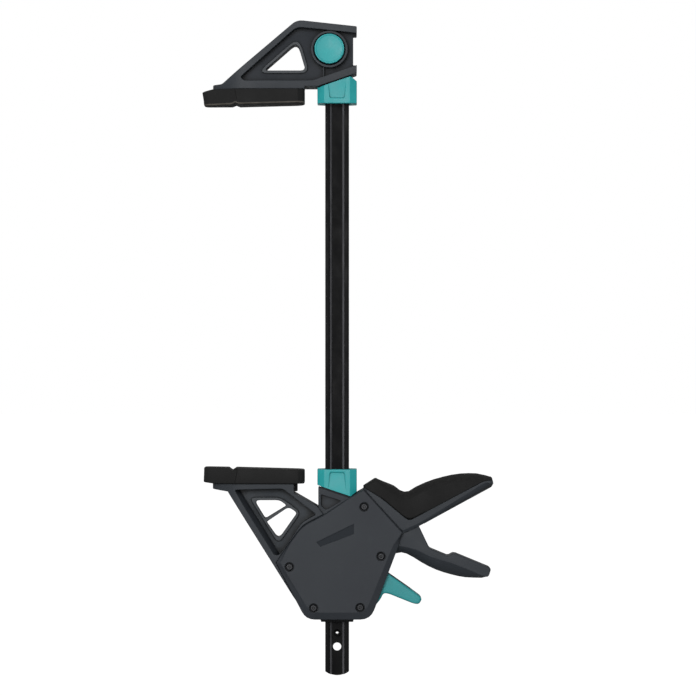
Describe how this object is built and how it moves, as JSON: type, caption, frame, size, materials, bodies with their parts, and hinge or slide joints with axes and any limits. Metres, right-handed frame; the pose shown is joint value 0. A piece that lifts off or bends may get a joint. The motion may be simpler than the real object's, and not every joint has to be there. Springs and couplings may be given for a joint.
{
  "type": "one-handed bar clamp",
  "caption": "One-handed bar clamp: I-section bar, fixed jaw with lock button, sliding jaw with squeeze trigger and release lever, soft pads, ribbed plastic arms.",
  "frame": {"origin": "centre of the fixed jaw pad's clamping face", "axes": "+Z along the bar towards the fixed jaw, +X from the pads towards the bar and the handle, +Y to the back"},
  "size_m": [0.2364, 0.036, 0.535],
  "materials": {
    "body_plastic": "fine moulded grain, anthracite",
    "pad_rubber": "matt",
    "grip_rubber": "matt, soft",
    "turquoise_plastic": "fine moulded grain",
    "black_plastic": "satin",
    "black_steel": "black coat, satin",
    "plain_steel": "plain"
  },
  "bodies": {
    "fixed_side": {"bar": "black_steel", "end_stop_pin": "black_steel", "fixed_jaw": "body_plastic", "fixed_jaw_pad": "pad_rubber", "upper_collar": "turquoise_plastic", "button_spring": "plain_steel"},
    "lock_button": {"lock_button": "turquoise_plastic", "lock_pin": "plain_steel"},
    "carriage": {"moving_jaw_body": "body_plastic", "front_cover": "body_plastic", "cover_screw_1": "plain_steel", "cover_screw_2": "plain_steel", "cover_screw_3": "plain_steel", "cover_screw_4": "plain_steel", "cover_screw_5": "plain_steel", "grip_pad": "grip_rubber", "moving_jaw_pad": "pad_rubber", "lower_collar": "turquoise_plastic", "lower_bar_bush": "black_plastic", "trigger_pin": "plain_steel", "release_lever_pin": "plain_steel", "drive_spring": "plain_steel", "brake_spring": "plain_steel"},
    "trigger": {"trigger": "body_plastic"},
    "drive_plates": {"drive_plate_1": "plain_steel", "drive_plate_2": "plain_steel"},
    "brake_plate": {"brake_plate": "black_steel"},
    "release_lever": {"release_lever": "turquoise_plastic", "release_lever_strip": "black_plastic"}
  },
  "joints": [
    {"name": "button_press", "type": "slide", "parent": "fixed_side", "child": "lock_button", "axis": [0, 1, 0], "range_m": [0, 0.0035], "stiffness_N_per_m": 500, "springref_m": -0.003, "deforming": ["button_spring"]},
    {"name": "carriage_slide", "type": "slide", "parent": "fixed_side", "child": "carriage", "axis": [0, 0, 1], "range_m": [-0.007, 0.295]},
    {"name": "trigger_squeeze", "type": "hinge", "parent": "carriage", "child": "trigger", "pos_m": [0.1117, 0, -0.35254], "axis": [0, -1, 0], "range_deg": [0, 26], "stiffness_Nm_per_rad": 0.5, "springref_deg": -11.46},
    {"name": "drive_plate_push", "type": "slide", "parent": "carriage", "child": "drive_plates", "axis": [0, 0, -1], "range_m": [0, 0.0095], "deforming": ["drive_spring"]},
    {"name": "release_press", "type": "hinge", "parent": "carriage", "child": "release_lever", "pos_m": [0.1002, 0, -0.3915], "axis": [0, -1, 0], "range_deg": [0, 12.5], "stiffness_Nm_per_rad": 0.3, "springref_deg": -8.59},
    {"name": "brake_release", "type": "hinge", "parent": "carriage", "child": "brake_plate", "pos_m": [0.04775, 0, -0.3999], "axis": [0, 1, 0], "range_deg": [0, 3.82], "deforming": ["brake_spring"]}
  ],
  "couplings": [
    {"joint": "drive_plate_push", "follows": "trigger_squeeze", "m_per_rad": 0.0209},
    {"joint": "brake_release", "follows": "release_press", "ratio": 0.304}
  ]
}
